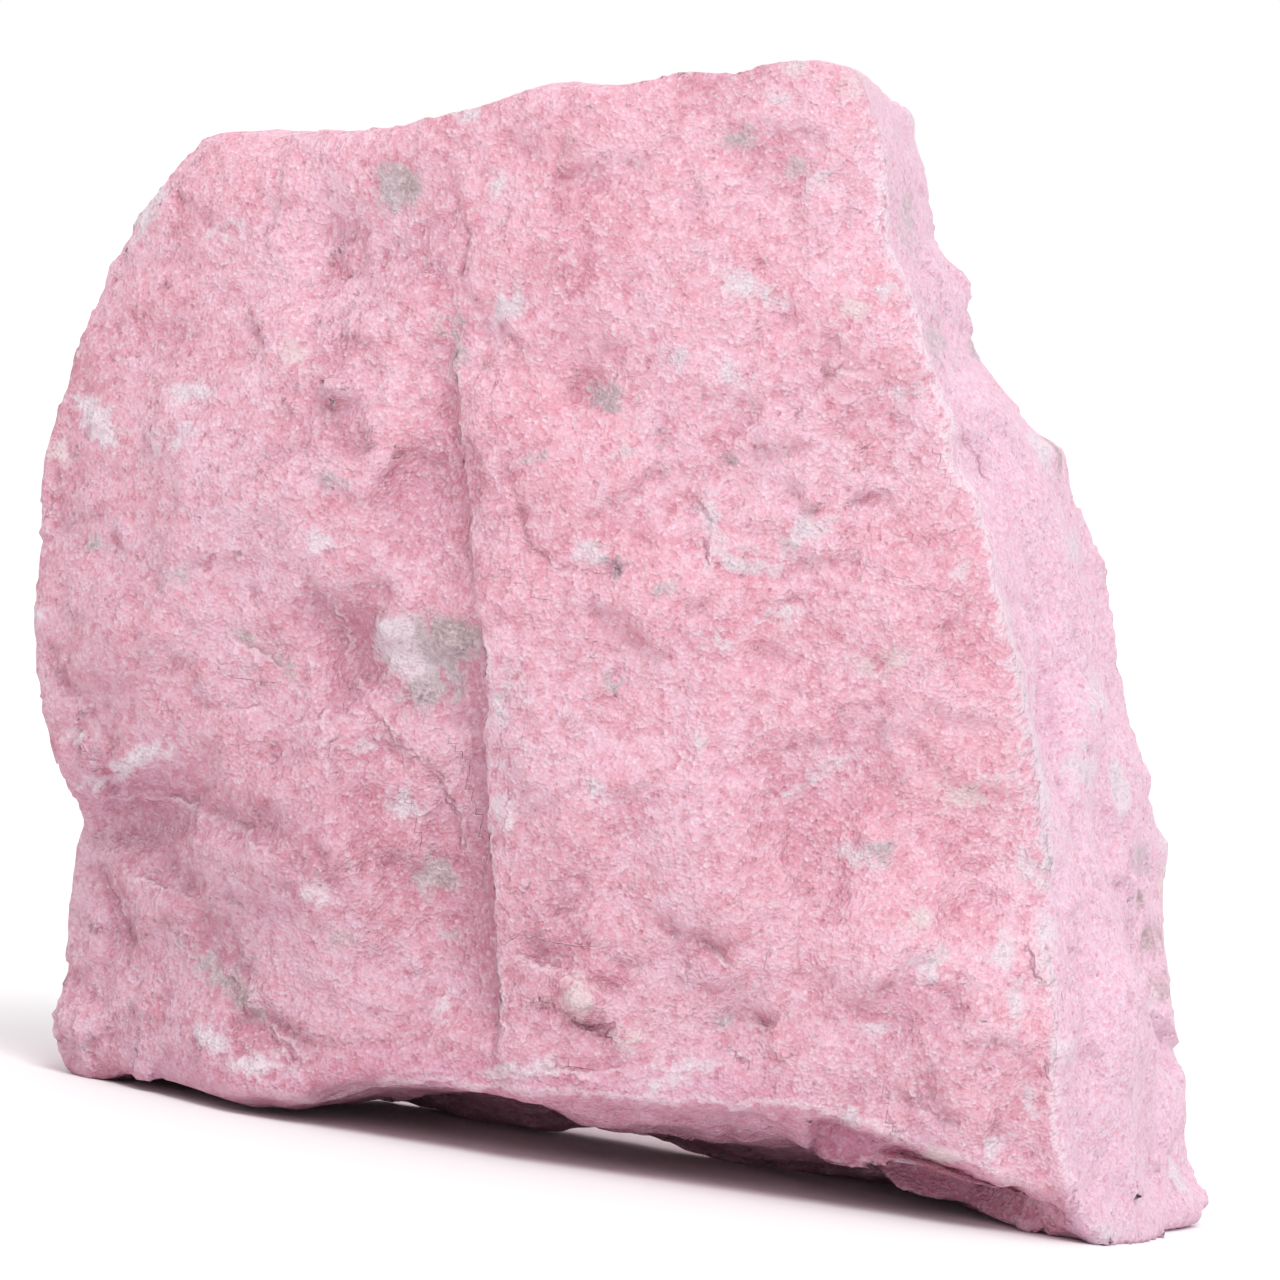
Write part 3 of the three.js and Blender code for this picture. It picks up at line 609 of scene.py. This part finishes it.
# short calls for making and joining shader nodes
class Nodes:
    def __init__(self, material):
        material.use_nodes = True
        self.tree = material.node_tree
        self.tree.nodes.clear()

    def feed(self, socket, value):
        if isinstance(value, bpy.types.NodeSocket):
            self.tree.links.new(value, socket)
        else:
            socket.default_value = value

    def add(self, kind, inputs=None, **settings):
        made = self.tree.nodes.new(kind)
        for key, value in settings.items():
            setattr(made, key, value)
        for name, value in (inputs or {}).items():
            self.feed(made.inputs[name], value)
        return made

    def mix(self, amount, first, second, blend="MIX"):
        made = self.add("ShaderNodeMix", data_type="RGBA", blend_type=blend)
        for socket, value in ((0, amount), (6, first), (7, second)):
            self.feed(made.inputs[socket], value)
        return made.outputs[2]

    def math(self, operation, first, second=0.5):
        made = self.add("ShaderNodeMath", operation=operation)
        for socket, value in ((0, first), (1, second)):
            self.feed(made.inputs[socket], value)
        return made.outputs[0]

    def spread(self, value, low, high, toLow=0.0, toHigh=1.0):
        made = self.add("ShaderNodeMapRange", {"Value": value, "From Min": low, "From Max": high,
                                               "To Min": toLow, "To Max": toHigh})
        made.clamp = True
        return made.outputs["Result"]


print("stone: material")
material = bpy.data.materials.new("thulite")
nodes = Nodes(material)
place = nodes.add("ShaderNodeTexCoord").outputs["Object"]
inMillimetres = nodes.add(
    "ShaderNodeMapping", {"Vector": place, "Scale": (1 / mm, 1 / mm, 1 / mm)}
).outputs["Vector"]


def noiseNode(scale, detail, rough):
    return nodes.add("ShaderNodeTexNoise", {"Vector": inMillimetres, "Scale": scale,
                                            "Detail": detail, "Roughness": rough}).outputs["Fac"]


def attribute(name):
    return nodes.add("ShaderNodeAttribute", attribute_name=name).outputs["Fac"]


broad, middle, fine, sugar = [noiseNode(*settings) for settings in noises.values()]
grains = nodes.add("ShaderNodeTexVoronoi", {"Vector": inMillimetres, "Scale": grainScale}).outputs
grainShades = nodes.add("ShaderNodeSeparateColor", {"Color": grains["Color"]}).outputs


# the fine noise in mm, to make drawn borders ragged
def raggedBy(reach):
    return nodes.math("MULTIPLY", nodes.math("SUBTRACT", fine, 0.5), reach)


# each tint: what drives it, where it starts and where it is full, its share then, and its colour
def tinted(colour, tints, blend="MIX"):
    for driver, start, full, share, name in tints:
        colour = nodes.mix(nodes.spread(driver, start, full, 0, share), colour, thulite[name], blend)
    return colour


raised = attribute("raised")
ragged = raggedBy(1.6)
hollowShadeMask = nodes.math("ADD", raised, nodes.math("MULTIPLY", ragged, 0.5))
lowLeftShadeRamp = nodes.add("ShaderNodeVectorMath", {0: inMillimetres, 1: (0.8, 0, 1)},
                    operation="DOT_PRODUCT").outputs["Value"]
colour = tinted(thulite["pink"], [
    (broad, 0.35, 0.65, 1, "palePink"),
    (middle, 0.45, 0.70, 0.7, "deepPink"),
    (raised, 0.05, 0.4, 0.35, "palePink"),
    (fine, 0.50, 0.70, 0.75, "palePink"),
    (fine, 0.48, 0.30, 0.75, "deepPink"),
])
# painted shade: darker in the hollows, where the surface lies below its smoothed shape
colour = tinted(colour, [(hollowShadeMask, 0.0, -0.45, 0.85, "hollowShade")], "MULTIPLY")
colour = tinted(colour, [
    (attribute("rightFace"), 0, 1, 0.75, "sidePink"),
    (sugar, 0.50, 0.75, 0.55, "palePink"),
    (sugar, 0.50, 0.25, 0.60, "deepPink"),
    (grainShades["Red"], 0.60, 1.0, 0.50, "rim"),
    (grainShades["Green"], 0.60, 1.0, 0.55, "deepPink"),
])
# painted shade: darker towards the lower left, and underneath
colour = tinted(colour, [(lowLeftShadeRamp, 24, -4, 0.7, "lowShade")], "MULTIPLY")
colour = nodes.mix(attribute("underShadeAmount"), colour, thulite["underShade"], "MULTIPLY")
pores = nodes.math(
    "MULTIPLY", nodes.spread(grainShades["Blue"], 0.86, 0.96, 0, 0.45), nodes.spread(fine, 0.50, 0.42)
)
colour = nodes.mix(pores, colour, thulite["shade"])
# drawn lines don't run quite where their masks put them
lineStray = raggedBy(0.9)


# a band along a kind of lines: its offset to the high side, its inner and outer half widths
def lineMask(name, offset, inner, outer, most):
    away = nodes.math("ADD", nodes.math("ADD", attribute(name + "Side"), lineStray), offset)
    near = nodes.spread(nodes.math("ABSOLUTE", away), outer, inner, 0, most)
    return nodes.math("MULTIPLY", near, attribute(name + "Share"))


# brinks: painted shade on the low side, a pale rim on the high side
colour = nodes.mix(lineMask("brink", 0.10, 0.03, 0.20, 0.7), colour, thulite["rim"])
colour = nodes.mix(lineMask("crest", 0.0, 0.05, 0.18, 0.75), colour, thulite["rim"])
for kind in ("cream", "white", "grey", "brown", "dark"):
    mask = nodes.spread(nodes.math("ADD", attribute(kind + "Patch"), ragged), -0.28, 0.16, 0, 0.88)
    inside = nodes.mix(nodes.spread(sugar, 0.45, 0.65, 0, 0.5), thulite[kind], thulite["patchFleck"])
    inside = nodes.mix(nodes.spread(grainShades["Blue"], 0.6, 1.0, 0, 0.6), inside, thulite["grey"])
    colour = nodes.mix(mask, colour, inside)
# painted shade under the brinks and in the cracks
colour = nodes.mix(lineMask("brink", -0.06, 0.02, 0.14, 0.85), colour, thulite["shade"])
colour = nodes.mix(lineMask("crack", 0.0, 0.02, 0.12, 0.85), colour, thulite["shade"])

# all the fine relief as one height, in mm
step = nodes.spread(nodes.math("ADD", attribute("brinkSide"), lineStray), -0.05, 0.12, 1, 0)
step = nodes.math("MULTIPLY", step, attribute("brinkShare"))
reliefParts = [
    (grains["Distance"], 0.07), (sugar, 0.09), (fine, 0.21), (middle, 0.36), (step, 0.18),
    (lineMask("crack", 0.0, 0.0, 0.14, 1.0), -0.12),
]
relief = 0.0
for part, height in reliefParts:
    relief = nodes.math("ADD", relief, nodes.math("MULTIPLY", part, height))
relief = nodes.math("MULTIPLY", relief, nodes.spread(attribute("rightFace"), 0, 1, 1, 0.7))
relief = nodes.add(
    "ShaderNodeBump", {"Height": relief, "Strength": 1.0, "Distance": mm}
).outputs["Normal"]
shader = nodes.add("ShaderNodeBsdfPrincipled", {"Base Color": colour, "Roughness": thulite["roughness"],
                                                "Normal": relief})
nodes.add("ShaderNodeOutputMaterial", {"Surface": shader.outputs["BSDF"]})
stone.data.materials.append(material)
selectOnly(stone)
bpy.ops.object.shade_smooth()

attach(stone, "root")
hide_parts("thulite_stone")
print("stone:", len(stone.data.polygons), "faces")

# wide pale floor, as white as the sky over it
floorSizes = {"across": 8.0, "albedo": 0.90, "roughness": 0.9}
print("floor and light")
bpy.ops.mesh.primitive_plane_add(size=floorSizes["across"], location=(0, 0, 0))
floor = bpy.context.object
floor.name = "floor"
floorMaterial = bpy.data.materials.new("floorPaper")
floorMaterial.use_nodes = True
paper = floorMaterial.node_tree.nodes["Principled BSDF"]
paper.inputs["Base Color"].default_value = [floorSizes["albedo"]] * 3 + [1]
paper.inputs["Roughness"].default_value = floorSizes["roughness"]
floor.data.materials.append(floorMaterial)

lamps = [
    {"name": "keyLight", "from": (0.20, -0.64, 0.88), "soft": 30, "strength": 1.6},
    {"name": "frontLight", "from": (-0.30, -0.93, 0.15), "soft": 50, "strength": 0.42},
]
for lamp in lamps:
    data = bpy.data.lights.new(lamp["name"], "SUN")
    data.angle = math.radians(lamp["soft"])
    data.energy = lamp["strength"]
    light = bpy.data.objects.new(lamp["name"], data)
    light.location = lamp["from"]
    light.rotation_euler = (-Vector(lamp["from"])).to_track_quat("-Z", "Y").to_euler()
    bpy.context.collection.objects.link(light)
# the studio is white behind the stone, dimmer behind the camera and brighter overhead
studio = {"behindCamera": 0.38, "behindStone": 1.0, "overhead": 0.3}
world = bpy.data.worlds.new("studio")
skyNodes = Nodes(world)
direction = skyNodes.add("ShaderNodeTexCoord").outputs["Generated"]
parts = skyNodes.add("ShaderNodeSeparateXYZ", {"Vector": direction}).outputs
strength = skyNodes.spread(parts["Y"], -0.6, 0.6, studio["behindCamera"], studio["behindStone"])
strength = skyNodes.math("ADD", strength, skyNodes.spread(parts["Z"], 0.1, 0.9, 0, studio["overhead"]))
sky = skyNodes.add("ShaderNodeBackground", {"Color": (1, 1, 1, 1), "Strength": strength})
skyNodes.add("ShaderNodeOutputWorld", {"Surface": sky.outputs["Background"]})
bpy.context.scene.world = world
bpy.context.scene.view_settings.view_transform = "Standard"
